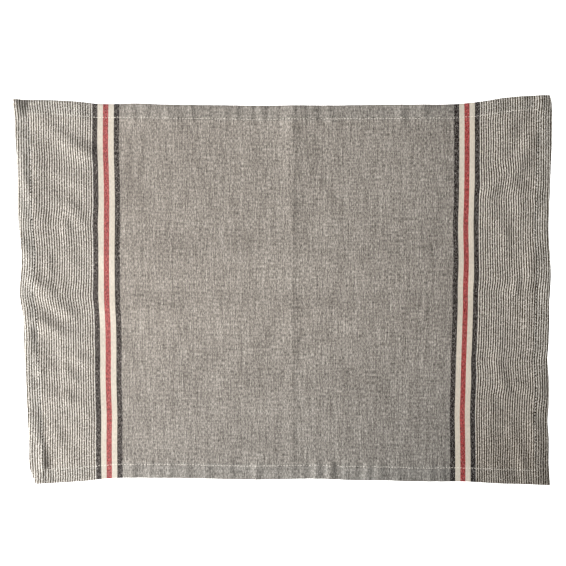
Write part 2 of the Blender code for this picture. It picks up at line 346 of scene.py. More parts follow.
    def bell(self, ridge: Ridge, x: np.ndarray, y: np.ndarray, sharp: bool = False) -> np.ndarray:
        """Height of one ridge.

        Args:
            ridge: Its crest, reach and heights.
            x: Places along the mat.
            y: Places across it.
            sharp: Whether its crest is pressed sharp.

        Returns:
            Heights: full on the crest, easing to nothing at the ridge's reach.
        """
        run_x, run_y = ridge.x1 - ridge.x0, ridge.y1 - ridge.y0
        run = math.hypot(run_x, run_y)
        along = ((x - ridge.x0) * run_x + (y - ridge.y0) * run_y) / run
        aside = ((x - ridge.x0) * run_y - (y - ridge.y0) * run_x) / run
        past = np.maximum(np.maximum(-along, along - run), 0.0) / self.taper
        away = np.clip(np.hypot(aside, past) / ridge.reach, 0.0, 1.0)
        share = (1.0 - away) ** 2 if sharp else np.cos(0.5 * math.pi * away) ** 2
        part = np.clip(along / run, 0.0, 1.0)
        rise1 = ridge.rise0 if ridge.rise1 is None else ridge.rise1
        return (ridge.rise0 + (rise1 - ridge.rise0) * part) * share

    def waves(self, x: np.ndarray, y: np.ndarray) -> np.ndarray:
        """Gentle unevenness of cloth that was folded away and laid out by hand.

        Args:
            x: Places along the mat.
            y: Places across it.

        Returns:
            Extra height, from 0 up.
        """
        seed = np.random.default_rng(self.crumple_seed)
        end = smooth_step((np.abs(x) - self.band_place) / self.loose_reach)
        bend, bend_length = self.crumple_bend
        broad = self.crumple_field + (self.crumple_end - self.crumple_field) * end
        total = np.zeros_like(x)
        for count, lengths, height in ((self.crumple_waves, self.crumple_length, broad),
                                       (self.ripple_waves, self.ripple_length,
                                        self.ripple_end * end)):
            for _ in range(count):
                turn, start = seed.uniform(0.0, 2.0 * math.pi, 2)
                length = seed.uniform(*lengths)
                run = (x * math.cos(turn) + y * math.sin(turn)) * 2.0 * math.pi / length
                wave = np.sin(run + start + bend * np.sin((x - y) / bend_length + turn))
                total += height * (wave + 0.5)
        return np.maximum(total, 0.0)

    def on_cloth(self, x: np.ndarray, y: np.ndarray) -> np.ndarray:
        """Which warp yarn lies at a place: how far it is from the mat's middle on the flat cloth.

        Args:
            x: Places along the mat.
            y: Places across it.

        Returns:
            Signed distances on the flat cloth, at a right angle to the stripes.
        """
        left = smooth_through(self.left_red, y)
        right = smooth_through(self.right_red, y)
        sway = np.zeros_like(x)
        for row in self.sways:
            reach = ((x - row.x) / row.reach_x) ** 2 + ((y - row.y) / row.reach_y) ** 2
            sway += row.shift * np.exp(-reach)
        outside = np.maximum(left - x, x - right)
        sway *= smooth_step(outside / self.sway_start)
        inner = self.band_place * (2.0 * (x - left) / (right - left) - 1.0)
        gathered = self.right_gather * (right - x)
        inner -= gathered * np.exp(-((right - x) / self.gather_reach) ** 2)
        left_end = -self.band_place + (x - left - sway) * self.left_stretch
        right_end = self.band_place + (x - right - sway) * self.right_stretch
        return np.where(x < left, left_end, np.where(x > right, right_end, inner))


# ---------------------------------------------------------------------------
# Shader building
# ---------------------------------------------------------------------------

Value = Union[float, "Wire"]


class Wire:
    """A number or colour on its way through a material, usable in Python arithmetic."""

    def __init__(self, recipe: "Recipe", socket: bpy.types.NodeSocket) -> None:
        """Hold the socket that the value comes out of."""
        self.recipe = recipe
        self.socket = socket

    def __add__(self, other: Value) -> "Wire":
        """Sum."""
        return self.recipe.maths("ADD", self, other)

    __radd__ = __add__

    def __sub__(self, other: Value) -> "Wire":
        """Difference."""
        return self.recipe.maths("SUBTRACT", self, other)

    def __rsub__(self, other: Value) -> "Wire":
        """Difference, the other way round."""
        return self.recipe.maths("SUBTRACT", other, self)

    def __mul__(self, other: Value) -> "Wire":
        """Product."""
        return self.recipe.maths("MULTIPLY", self, other)

    __rmul__ = __mul__

    def __truediv__(self, other: Value) -> "Wire":
        """Quotient."""
        return self.recipe.maths("DIVIDE", self, other)

    def __rtruediv__(self, other: Value) -> "Wire":
        """Quotient, the other way round."""
        return self.recipe.maths("DIVIDE", other, self)

    def __lt__(self, other: Value) -> "Wire":
        """1 where this is less than the other, 0 elsewhere."""
        return self.recipe.maths("LESS_THAN", self, other)

    def __gt__(self, other: Value) -> "Wire":
        """1 where this is greater than the other, 0 elsewhere."""
        return self.recipe.maths("GREATER_THAN", self, other)

    def __abs__(self) -> "Wire":
        """Size without sign."""
        return self.recipe.maths("ABSOLUTE", self)

    def whole(self) -> "Wire":
        """Largest whole number not above this."""
        return self.recipe.maths("FLOOR", self)

    def part(self) -> "Wire":
        """What is left above the whole number."""
        return self.recipe.maths("FRACT", self)


class Recipe:
    """One material being put together, with a Principled BSDF at its end."""

    def __init__(self, name: str) -> None:
        """Start a material that has only its Principled BSDF."""
        self.material = bpy.data.materials.new(name)
        self.material.use_nodes = True
        self.tree = self.material.node_tree
        self.shader = self.tree.nodes["Principled BSDF"]

    def node(self, kind: str, settings: dict, sockets: dict) -> bpy.types.Node:
        """Add a node.

        Args:
            kind: Its type name.
            settings: Its own settings, set before its sockets.
            sockets: Socket name or number to a value or a Wire.

        Returns:
            The node.
        """
        made = self.tree.nodes.new(kind)
        for key, setting in settings.items():
            setattr(made, key, setting)
        for key, value in sockets.items():
            self.feed(made.inputs[key], value)
        return made

    def feed(self, socket: bpy.types.NodeSocket, value: object) -> None:
        """Give a socket a value, or link a Wire to it.

        Args:
            socket: An input of a node.
            value: What it gets.
        """
        if isinstance(value, Wire):
            self.tree.links.new(value.socket, socket)
        else:
            socket.default_value = value

    def maths(self, operation: str, *values: Value) -> Wire:
        """Add one Math node and return what comes out of it."""
        made = self.node("ShaderNodeMath", {"operation": operation}, dict(enumerate(values)))
        return Wire(self, made.outputs[0])

    def lay(self, map_name: str) -> tuple[Wire, Wire]:
        """Read a UV map and return its two numbers."""
        made = self.node("ShaderNodeUVMap", {"uv_map": map_name}, {})
        return self.split(made.outputs[0])

    def plan(self) -> tuple[Wire, Wire]:
        """Read the place on the piece itself, in metres, and return its x and y."""
        return self.split(self.node("ShaderNodeTexCoord", {}, {}).outputs["Object"])

    def split(self, socket: bpy.types.NodeSocket) -> tuple[Wire, Wire]:
        """Return the first two numbers of a vector."""
        made = self.node("ShaderNodeSeparateXYZ", {}, {0: Wire(self, socket)})
        return Wire(self, made.outputs[0]), Wire(self, made.outputs[1])

    def attribute(self, name: str) -> Wire:
        """Read a point attribute of the piece."""
        made = self.node("ShaderNodeAttribute", {"attribute_name": name}, {})
        return Wire(self, made.outputs["Fac"])

    def joined(self, x: Value, y: Value) -> Wire:
        """Put two numbers together as a flat vector."""
        return Wire(self, self.node("ShaderNodeCombineXYZ", {}, {0: x, 1: y}).outputs[0])

    def noise(self, x: Value, y: Value, detail: float = 2.0) -> Wire:
        """Soft noise around 0, of about one blotch to each unit of x and y."""
        made = self.node("ShaderNodeTexNoise", {"noise_dimensions": "2D"},
                         {"Vector": self.joined(x, y), "Scale": 1.0, "Detail": detail})
        return Wire(self, made.outputs[0]) - 0.5

    def speckle(self, x: Value, y: Value) -> Wire:
        """Hard noise from 0 to 1 that jumps from each value of x and y to the next."""
        made = self.node("ShaderNodeTexWhiteNoise", {"noise_dimensions": "2D"},
                         {"Vector": self.joined(x, y)})
        return Wire(self, made.outputs[0])

    def mix(self, share: Value, first: object, second: object, blend: str = "MIX") -> Wire:
        """Mix two colours.

        Args:
            share: 0 for the first colour, 1 for the second.
            first: Colour or Wire.
            second: Colour or Wire.
            blend: How the second is laid on the first.

        Returns:
            The mixed colour.
        """
        settings = {"data_type": "RGBA", "blend_type": blend, "clamp_result": False}
        made = self.node("ShaderNodeMix", settings, {0: share, 6: first, 7: second})
        return Wire(self, made.outputs[2])

    def past(self, distance: Wire) -> Wire:
        """The distance where it is over 0, and 0 elsewhere."""
        return self.maths("MAXIMUM", distance, 0.0)

    def shaded(self, colour: object, brightness: Wire) -> Wire:
        """Multiply a colour, given as a Wire or three numbers, by a brightness."""
        made = self.node("ShaderNodeVectorMath", {"operation": "SCALE"},
                         {0: colour, "Scale": brightness})
        return Wire(self, made.outputs[0])

    def surface(self, sockets: dict) -> None:
        """Give sockets of the Principled BSDF their values or Wires."""
        for name, value in sockets.items():
            self.feed(self.shader.inputs[name], value)

    def bump(self, height: Wire, strength: float, distance: float) -> None:
        """Let a height raise the surface's small relief."""
        made = self.node("ShaderNodeBump", {}, {"Height": height, "Strength": strength,
                                                "Distance": distance})
        self.surface({"Normal": Wire(self, made.outputs[0])})


Colour = tuple[float, float, float, float]


@dataclass(frozen=True)
class Seam:
    """The row of stitches that holds the hems."""

    inset: float = 0.0128           # edge to the stitches
    pitch: float = 0.00275          # one stitch and the gap after it
    hole: float = 0.0010            # width of a common needle hole
    hole_least: float = 0.40        # the narrowest is this share of it
    hole_spread: float = 0.85       # and the widest has this much more of it
    hole_seed: float = 3.0          # draws which holes are wide

    def count(self, size: float) -> int:
        """Number of stitches along a side of this size."""
        return round((size - 2.0 * self.inset) / self.pitch)


@dataclass(frozen=True)
class StripedLinen:
    """Plain-weave linen and cotton: a grey-beige field, bands of five stripes, ticking at the ends.

    The warp runs across the mat, from its front edge to its back one, and covers most of the weft.
    """

    # dyes
    field_dark: Colour = (0.110, 0.095, 0.081, 1.0)
    field_light: Colour = (0.304, 0.280, 0.251, 1.0)
    charcoal: Colour = (0.024, 0.017, 0.015, 1.0)
    ecru: Colour = (0.464, 0.420, 0.358, 1.0)
    red: Colour = (0.252, 0.034, 0.035, 1.0)
    ticking_ecru: Colour = (0.408, 0.388, 0.356, 1.0)
    ticking_dark: Colour = (0.030, 0.016, 0.003, 1.0)
    weft: Colour = (0.425, 0.400, 0.370, 1.0)
    # painted shade: the dark inside of the needle holes
    hole: Colour = (0.012, 0.010, 0.008, 1.0)
    hem_tint: Colour = (0.985, 1.000, 1.010, 1.0)   # painted light: three layers let less of the table's light through

    # weave and stripes
    warp_pitch: float = 0.000583
    weft_pitch: float = 0.000620
    weft_cover: float = 0.13        # least share of its pitch over which a weft yarn shows
    weft_spread: float = 0.26       # how much more of it may show, from one crossing to the next
    dark_cover: float = 0.01        # the same two, over the dark lines of the ticking
    dark_spread: float = 0.80
    dark_beads: float = 8.0         # they look beaded: how unevenly the weft covers them
    charcoal_beads: float = 3.4     # and how unevenly it covers the charcoal stripes
    red_half: float = 0.00248       # half width of the red stripe
    ecru_reach: float = 0.00763     # red stripe's middle to the outer side of the ecru stripes
    band_reach: float = 0.01254     # red stripe's middle to the outer side of the charcoal ones
    ticking_yarns: int = 4          # the ends repeat over this many warp yarns
    ticking_pale: float = 0.54      # share of them that is ecru

    # unevenness: the size of blotches across and along the stripes
    fine_size: tuple = (0.00105, 0.00260)
    grit_size: tuple = (0.00062, 0.00120)
    bundle_size: tuple = (0.0045, 0.070)
    cloud_size: tuple = (0.050, 0.060)
    yarn_stretch: float = 0.024     # length of a warp yarn's thick or thin stretches
    yarn_jump: float = 7.31         # and how far apart two yarns are in the noise
    pick_stretch: float = 0.018     # the same two for the weft
    pick_jump: float = 5.17
    yarn_share: float = 1.15        # how much each kind changes the melange of the field
    bundle_share: float = 0.30
    cloud_share: float = 0.22
    pick_share: float = 0.85
    grain: float = 1.68             # strength of the yarns' unevenness from one to the next
    slub: float = 0.50              # strength of the thick and thin stretches along a yarn
    grit: float = 2.10              # strength of the ends' own finer unevenness
    ecru_calm: float = 0.75         # the ecru stripes and the ends have less of the first two
    end_calm: float = 0.50

    # painted light and shade, wear, tone and glare: places are on the flat cloth, from the mat's
    # middle
    shade_corner: tuple = (0.060, -0.060)    # painted shade: darker right of and in front of this place, where the light falls off
    corner_shade: float = 9.0
    ecru_kept: float = 0.7          # the ecru stripes are kept out of it by this share
    pale_corner: tuple = (-0.130, 0.050)    # painted light: lighter left of and behind this one
    paler: float = 8.0
    shade_side_start: float = 0.090        # painted shade: the field gets darker, too, right of here
    side_shade: float = 0.70
    worn: float = 0.035             # paler where it was folded over, across the middle
    worn_reach: float = 0.045
    warm_tone: Colour = (1.035, 0.997, 0.965, 1.0)  # the tone at the ends and the back left
    cool_tone: Colour = (0.965, 1.003, 1.035, 1.0)  # and towards the front right of the field
    cool_right: float = 0.95        # how fast it cools to the right
    cool_start: float = -0.020      # and to the front, from here on
    cool_front: float = 1.70
    warm_end: float = 0.10          # how much warmer the ends are, and more so where the painted shade of the front right falls
    warm_corner: float = 14.0
    painted_glare: Colour = (0.900, 0.860, 0.830, 1.0)      # painted glare: a pale veil of light over the left half
    glare_share: float = 0.036      # how much of it there is at the left band; none at the right
    charcoal_glare: float = 0.40    # the charcoal stripes show this share less of it

    # surface
    roughness: float = 0.92
    sheen: float = 0.12
    sheen_roughness: float = 0.5
    specular: float = 0.25
    weft_relief: float = 0.9        # height of a weft yarn beside that of a warp yarn
    fine_relief: float = 0.8
    relief: float = 0.00012
    relief_strength: float = 0.5

    def material(self, lay: MatLay, seam: Seam) -> bpy.types.Material:
        """Build the cloth's material on the cloth's own lay.

        Args:
            lay: The mat as it lies, for the place of its stripes.
            seam: The row of stitches, for its needle holes.

        Returns:
            The material.
        """
        shade = LinenShade(self, lay)
        recipe = shade.recipe
        weft_shows = shade.weft_shows()
        colour = recipe.mix(weft_shows, shade.dyed(), self.weft)
        colour = shade.painted_light_and_wear(recipe.shaded(colour, shade.unevenness()))
        # painted shade in the needle holes
        colour = recipe.mix(shade.needle_holes(seam), colour, self.hole)
        # painted light: the hem lets less of the table's light through
        hem_colour = recipe.mix(1.0, colour, self.hem_tint, "MULTIPLY")
        colour = recipe.mix(recipe.attribute(HEM_MARK), colour, hem_colour)
        recipe.surface({"Base Color": colour, "Roughness": self.roughness,
                        "Sheen Weight": self.sheen, "Sheen Roughness": self.sheen_roughness,
                        "Specular IOR Level": self.specular})
        recipe.bump(shade.yarn_height(weft_shows), self.relief_strength, self.relief)
        return recipe.material


class LinenShade:
    """The linen's material in the making: where a point of the cloth is, and how it looks there."""

    def __init__(self, linen: StripedLinen, lay: MatLay) -> None:
        """Place a point among the yarns and the stripes, with a mark of 1 on each stripe.

        Args:
            linen: The cloth's dyes, yarns and wear.
            lay: The mat as it lies, for the place of its stripes.
        """
        self.linen, self.lay = linen, lay
        self.recipe = Recipe("striped_linen")
        self.across, self.along = self.recipe.lay(LAY_MAP)
        warp, weft = self.across / linen.warp_pitch, self.along / linen.weft_pitch
        self.warp_number, self.weft_number = warp.whole(), weft.whole()
        self.in_warp, self.in_weft = warp.part() - 0.5, weft.part() - 0.5

        from_middle = abs(self.across)
        from_red = abs(from_middle - lay.band_place)
        past_red = from_middle - lay.band_place - linen.band_reach
        self.in_end = from_middle > lay.band_place + linen.band_reach
        self.in_band = from_red < linen.band_reach
        self.in_pale = from_red < linen.ecru_reach
        self.in_red = from_red < linen.red_half
        self.in_charcoal = self.in_band * (1.0 - self.in_pale)
        tick = past_red / linen.warp_pitch / linen.ticking_yarns
        self.in_dark_tick = tick.part() > linen.ticking_pale

        self.fine = self.blotches(linen.fine_size, 1.0)
        self.grit = self.blotches(linen.grit_size, 1.0)
        self.yarn = self.recipe.noise(self.warp_number * linen.yarn_jump,
                                      self.along / linen.yarn_stretch, 3.0)

    def blotches(self, size: tuple, detail: float) -> Wire:
        """Soft noise with blotches of this size across and along the stripes."""
        return self.recipe.noise(self.across / size[0], self.along / size[1], detail)

    def dyed(self) -> Wire:
        """Dye the warp yarns, stripe by stripe.

        Returns:
            Their colour.
        """
        linen, recipe = self.linen, self.recipe
        pick = recipe.noise(self.across / linen.pick_stretch,
                            self.weft_number * linen.pick_jump, 2.0)
        melange = (0.5 + self.yarn * linen.yarn_share
                   + self.blotches(linen.bundle_size, 2.0) * linen.bundle_share
                   + self.blotches(linen.cloud_size, 2.0) * linen.cloud_share
                   + pick * linen.pick_share)
        colour = recipe.mix(melange, linen.field_dark, linen.field_light)
        ticking = recipe.mix(self.in_dark_tick, linen.ticking_ecru, linen.ticking_dark)
        for mark, dye in ((self.in_end, ticking), (self.in_band, linen.charcoal),
                          (self.in_pale, linen.ecru), (self.in_red, linen.red)):
            colour = recipe.mix(mark, colour, dye)
        return colour

    def weft_shows(self) -> Wire:
        """Find where a weft yarn lies on top.

        Returns:
            1 there, 0 elsewhere.
        """
        linen, recipe = self.linen, self.recipe
        is_odd = ((self.warp_number + self.weft_number) / 2.0).part() > 0.25
        speckle = recipe.speckle(self.warp_number, self.weft_number)
        cover = linen.weft_cover + linen.weft_spread * speckle
        gap = recipe.speckle(self.weft_number, self.warp_number)
        dark_cover = linen.dark_cover + linen.dark_spread * gap * gap * gap
        in_dark = self.in_end * self.in_dark_tick
        cover = (cover * (1.0 - in_dark)
                 + dark_cover * in_dark * (1.0 + linen.dark_beads * self.grit))
        cover = cover * (1.0 + linen.charcoal_beads * self.fine * self.in_charcoal)
        return is_odd * (abs(self.in_weft) < 0.5 * cover)

    def unevenness(self) -> Wire:
        """Let the yarns differ from one to the next and along their length.

        Returns:
            Their brightness, around 1.
        """
        linen = self.linen
        calm = linen.ecru_calm * self.in_pale * (1.0 - self.in_red) + linen.end_calm * self.in_end
        light = 1.0 + (1.0 - calm) * (linen.grain * self.fine + linen.slub * self.yarn)
        return light + linen.grit * self.in_end * self.grit

    def painted_light_and_wear(self, colour: Wire) -> Wire:
        """Paint light, shade and a pale glare onto the cloth, and warm or cool it, from one part of
        the mat to another.

        Args:
            colour: The cloth's colour before these changes.

        Returns:
            Its colour with painted light, shade and glare, paler along the middle fold, its tone
            shifted.
        """
        linen, recipe, across, along = self.linen, self.recipe, self.across, self.along
        shade_x, shade_y = linen.shade_corner
        pale_x, pale_y = linen.pale_corner
        # painted shade towards the front right, painted light towards the back left
        shade_depth = recipe.past(across - shade_x) * recipe.past(shade_y - along)
        pale = recipe.past(pale_x - across) * recipe.past(along - pale_y)
        in_field = 1.0 - self.in_end - self.in_pale
        # painted shade: the field darker towards its right side
        side = (in_field - self.in_charcoal) * recipe.past(across - linen.shade_side_start)
        middle = across / linen.worn_reach
        light = (1.0 - linen.corner_shade * shade_depth * (1.0 - linen.ecru_kept * self.in_pale)
                 + linen.paler * pale - linen.side_shade * side
                 + linen.worn / (1.0 + middle * middle))

        front = recipe.past(linen.cool_start - along)
        cool = (in_field * (linen.cool_right * across + linen.cool_front * front)
                - self.in_end * (linen.warm_end + linen.warm_corner * shade_depth))
        tone = recipe.mix(0.5 + cool, linen.warm_tone, linen.cool_tone)
        colour = recipe.mix(1.0, recipe.shaded(colour, light), tone, "MULTIPLY")

        # painted glare: a pale veil of light, fading from the left end to the right band, less on
        # charcoal
        band = self.lay.band_place
        glare = recipe.past((band - across) * (0.5 * linen.glare_share / band))
        glare = glare * (1.0 - linen.charcoal_glare * self.in_charcoal)
        return recipe.mix(glare, colour, linen.painted_glare)

    def needle_holes(self, seam: Seam) -> Wire:
        """Mark the needle holes that gape between the stitches along the two short ends, for their
        painted shade.

        Args:
            seam: Where the stitches are.

        Returns:
            1 in a hole, 0 elsewhere.
        """
        recipe, lay = self.recipe, self.lay
        across, up = recipe.lay(SEAM_MAP)
        from_end = recipe.maths("MINIMUM", across, lay.length - across)
        from_side = recipe.maths("MINIMUM", up, lay.depth - up)
        stitch = (up - seam.inset) * (seam.count(lay.depth) / (lay.depth - 2.0 * seam.inset))
        number = (stitch + 0.5).whole()
        end = (across / lay.length + 0.5).whole()
        speckle = recipe.speckle(number, end + seam.hole_seed)
        gape = seam.hole * (seam.hole_least + seam.hole_spread * speckle)
        off_line = abs(from_end - seam.inset) < gape * 0.5
        off_gap = abs(stitch - number) * seam.pitch < gape * 0.5
        return off_line * off_gap * (from_side > seam.inset)

    def yarn_height(self, weft_shows: Wire) -> Wire:
        """Round the yarns.

        Args:
            weft_shows: 1 where a weft yarn lies on top.

        Returns:
            Their relief, from 0 between two warp yarns to 1 on one.
        """
        warp_round = 1.0 - self.in_warp * self.in_warp * 4.0
        weft_round = 1.0 - self.in_weft * self.in_weft * 4.0
        return (warp_round * (1.0 - weft_shows) + weft_shows * weft_round * self.linen.weft_relief
                + self.fine * self.linen.fine_relief)


@dataclass(frozen=True)
class SewingThread:
    """Matt ecru thread with a slight twist."""

    colour: tuple = (0.705, 0.665, 0.595)
    twist_pitch: float = 0.0004
    ply_shade: float = 0.92            # painted shade: brightness between two plies
    ply_highlight: float = 0.16             # and how much more there is on top of one, a painted highlight
    fuzz: float = 0.3
    fuzz_size: float = 0.0006
    roughness: float = 0.8
    relief: float = 0.00005
    relief_strength: float = 0.4

    def material(self) -> bpy.types.Material:
        """Build the thread's material: painted shade and highlight, and relief, follow its twist.

        Returns:
            The material.
        """
        recipe = Recipe("ecru_thread")
        x, y = recipe.plan()
        ply = ((x + y) / self.twist_pitch).part()
        fuzz = recipe.noise(x / self.fuzz_size, y / self.fuzz_size)
        # painted shade between the plies, a painted highlight on their crowns
        light = self.ply_shade + self.ply_highlight * ply + self.fuzz * fuzz
        recipe.surface({"Base Color": recipe.shaded(self.colour, light),
                        "Roughness": self.roughness})
        recipe.bump(ply, self.relief_strength, self.relief)
        return recipe.material


@dataclass(frozen=True)
class PaleTable:
    """The plain pale surface under the mat."""

    colour: tuple = (0.92, 0.92, 0.92)
    unevenness: float = 0.01        # the faintest unevenness in its tone
    blotch: float = 0.4
    glow: float = 0.60              # lit from below, so that nothing on it throws a hard shadow
    glow_colour: Colour = (1.0, 1.0, 1.0, 1.0)
    roughness: float = 0.85

    def material(self) -> bpy.types.Material:
        """Build the floor's material.

        Returns:
            The material.
        """
        recipe = Recipe("pale_table")
        x, y = recipe.plan()
        light = 1.0 + self.unevenness * recipe.noise(x / self.blotch, y / self.blotch)
        recipe.surface({"Base Color": recipe.shaded(self.colour, light),
                        "Roughness": self.roughness, "Emission Color": self.glow_colour,
                        "Emission Strength": self.glow})
        return recipe.material


# ---------------------------------------------------------------------------
# The pieces
# ---------------------------------------------------------------------------

class Side(Enum):
    """The face of the mat that a row of stitches lies on."""

    FACE = 1
    UNDERSIDE = -1


def select_only(obj: bpy.types.Object) -> None:
    """Make one object the only selected one, and the active one.

    Args:
        obj: The object.
    """
    bpy.ops.object.select_all(action="DESELECT")
    obj.select_set(True)
    bpy.context.view_layer.objects.active = obj


def add_numbers(mesh: bpy.types.Mesh, name: str, values: np.ndarray) -> None:
    """Add a point attribute to a mesh, with its values."""
    made = mesh.attributes.new(name, "FLOAT", "POINT")
    made.data.foreach_set("value", values.astype(np.float32))


@dataclass(frozen=True)
class HemmedCloth:
    """The one sheet of cloth, its edges turned under twice, with the hems pressed and stitched."""

    lay: MatLay
    finish: StripedLinen
    thickness: float = 0.00042
    field_height: float = 0.00024       # middle of the single cloth, over the table
    bottom_height: float = 0.00030      # middle of each of the hem's three layers
    middle_height: float = 0.00074
    top_height: float = 0.00118
    hem_width: float = 0.0138           # edge to the inner fold
    seam: Seam = Seam()
    drop_reach: float = 0.0340          # the face comes down to the table over this width
    loft: float = 0.00003               # the hem stands up softly between edge and stitches
    groove: float = 0.00010             # the stitches draw the face down this much
    groove_reach: float = 0.0009
    fold_round: float = 0.0006          # the face starts to come down this far before the fold
    bottom_lines: tuple = (0.0035, 0.0065, 0.0095)  # the mesh's lines in the bottom layer
    middle_lines: tuple = (0.0095, 0.0060)          # and in the middle one, on the way back
    tucked_end: float = 0.0024          # the cut edge, hidden in the hem, ends this near the edge
    cell: float = 0.0028                # size of the mesh's cells between the stripes
    fine_cell: float = 0.0019           # and at the ends, and by the pressed crease
    row_cell: float = 0.0027
    end_reach: float = 0.078            # the ends, from the short edges
    crease: tuple = (0.248, 0.272)      # the pressed crease, from the left end
    hem_lines: tuple = (0.0025, 0.0045, 0.0065, 0.0085, 0.0104, 0.0118, 0.0128, 0.0137,
                        0.0148, 0.0162, 0.0180, 0.0202, 0.0226)
    turn_steps: int = 5
    edge_share: float = 1e-4            # this near to an edge, as a share of the size, is on it
    pulls: tuple = (0.00008, 0.00235)   # slight pulls along the long hems: height, length / 2 pi
    pull_bend: tuple = (2.0, 0.021)     # and how unevenly they follow each other
    pucker_reach: float = 0.009         # pulls and puckers fade out this far inside the seam
    puckers_back: tuple = table(
        Pucker,
        (-138.5, 6, 0.7), (-126.5, 6, 0.6), (-107, 5, 0.9), (-99, 4.5, 0.6), (-84.5, 5, 1.2),
        (-69, 5, 0.5), (-53, 5, 0.8), (-43, 4.8, 1.4), (-30, 4.5, 1), (-19, 4.5, 1.4), (20, 6, 1),
        (29.5, 4.5, 0.8), (44, 6, 0.8), (64, 6, 0.5), (90, 6, 0.6), (110.5, 4.8, 1.2),
        (131, 5.5, 1.3), (156, 5, 0.6),
    )
    puckers_front: tuple = table(
        Pucker,
        (-139, 5, 0.8), (-123, 4.5, 1), (-114, 4, 0.6), (-105, 4, 0.8), (-90, 5, 0.4),
        (-70, 4.5, 0.6), (-48, 4.5, 0.6), (-24, 4.8, 1.2), (-6, 4.5, 0.6), (20, 4.5, 0.6),
        (32, 4.5, 1.3), (45.5, 4.5, 1.5), (58, 4, 0.6), (68, 4, 0.7), (79, 4.5, 1.2),
        (90.5, 4.5, 1.2), (106, 4.5, 0.6), (119, 4.5, 0.7), (137.5, 4.8, 0.8), (148, 4, 0.8),
    )

    def lines(self, size: float, is_long: bool) -> np.ndarray:
        """Places of the mesh's lines across the cloth, close together where it bends most.

        Args:
            size: Size of the flat mat this way.
            is_long: Whether this is the mat's long way.

        Returns:
            Distances from the edge.
        """
        near = np.array((self.turn_start(), *self.hem_lines))
        field = [near[-1]]
        while field[-1] < size - near[-1]:
            here = field[-1]
            at_end = min(here, size - here) < self.end_reach
            at_crease = self.crease[0] < here < self.crease[1]
            step = self.fine_cell if at_end or at_crease else self.cell
            field.append(here + (step if is_long else self.row_cell))
        share = (np.array(field) - near[-1]) / (field[-1] - near[-1])
        field = near[-1] + share * (size - 2.0 * near[-1])
        return np.concatenate((near, field[1:-1], size - near[::-1]))

    def turn_radius(self) -> float:
        """Radius of the outer fold, from the top layer to the bottom one."""
        return 0.5 * (self.top_height - self.bottom_height)

    def turn_start(self) -> float:
        """Distance from the edge at which the top layer starts to turn under."""
        return self.turn_radius() + 0.5 * self.thickness

    def hem_turns(self) -> list[tuple[float, float]]:
        """The path of the turned cloth in a hem's section.

        Returns:
            Distance from the edge and height of each line past the top layer's last one.
        """
        radius = self.turn_radius()
        start = self.turn_start()
        path = []
        for step in range(1, self.turn_steps + 1):
            angle = math.pi * step / self.turn_steps
            path.append((start - radius * math.sin(angle),
                         self.bottom_height + radius * (1.0 + math.cos(angle))))
        inner_radius = 0.5 * (self.middle_height - self.bottom_height)
        inner_start = self.hem_width - inner_radius
        path += [(inset, self.bottom_height) for inset in (*self.bottom_lines, inner_start)]
        for step in range(1, self.turn_steps):
            angle = math.pi * step / (self.turn_steps - 1)
            path.append((inner_start + inner_radius * math.sin(angle),
                         self.bottom_height + inner_radius * (1.0 - math.cos(angle))))
        path += [(inset, self.middle_height) for inset in (*self.middle_lines, self.tucked_end)]
        return path

    def pucker_lift(self, x: np.ndarray, up: np.ndarray) -> np.ndarray:
        """Height of the ripples that the stitching draws up along the long hems.

        Args:
            x: Places along the mat.
            up: Distances from the front edge on the flat mat.

        Returns:
            Extra height, from 0 up.
        """
        total = np.zeros_like(x)
        height, length = self.pulls
        bend, bend_length = self.pull_bend
        rows = ((self.puckers_front, up), (self.puckers_back, self.lay.depth - up))
        for puckers, inset in rows:
            near_edge = 1.0 - smooth_step((inset - self.seam.inset) / self.pucker_reach)
            for pucker in puckers:
                away = np.clip(np.abs(x - pucker.x) / pucker.reach, 0.0, 1.0)
                total += pucker.rise * np.cos(0.5 * math.pi * away) ** 2 * near_edge
            wave = np.sin(x / length + bend * np.sin(x / bend_length))
            total += height * near_edge * (1.0 + wave)
        return total

    def rise(self, x: np.ndarray, y: np.ndarray, up: np.ndarray) -> np.ndarray:
        """Height that folds, waves and puckers add at a place of the mat."""
        return self.lay.lift(x, y) + self.lay.waves(x, y) + self.pucker_lift(x, up)

    def face_height(self, inset: np.ndarray) -> np.ndarray:
        """Height of the face layer's middle on the flat mat.

        Args:
            inset: Distances from the nearest edge.

        Returns:
            Heights: over the hem, down its inner side, then low over the field.
        """
        drop = smooth_step((inset - self.hem_width + self.fold_round) / self.drop_reach)
        height = self.top_height + (self.field_height - self.top_height) * drop
        width = self.seam.inset - self.turn_start()
        share = np.clip((inset - self.turn_start()) / width, 0.0, 1.0)
        groove = np.exp(-((inset - self.seam.inset) / self.groove_reach) ** 2)
        return height + self.loft * np.sin(math.pi * share) - self.groove * groove

    def on_mat(self, across: np.ndarray, up: np.ndarray) -> tuple:
        """Place, on the table, points given by their distances on the flat mat.

        Args:
            across: Distances from the left end.
            up: Distances from the front edge.

        Returns:
            x, y and the extra height at each point.
        """
        x, y = self.lay.place(across / self.lay.length, up / self.lay.depth)
        return x, y, self.rise(x, y, up)

    def face_point(self, across: np.ndarray, up: np.ndarray) -> np.ndarray:
        """Points on the middle of the face layer.

        Args:
            across: Distances from the left end.
            up: Distances from the front edge.

        Returns:
            Rows of x, y and z.
        """
        inset = np.minimum.reduce([across, self.lay.length - across, up, self.lay.depth - up])
        x, y, rise = self.on_mat(across, up)
        return np.stack((x, y, rise + self.face_height(inset)), axis=1)

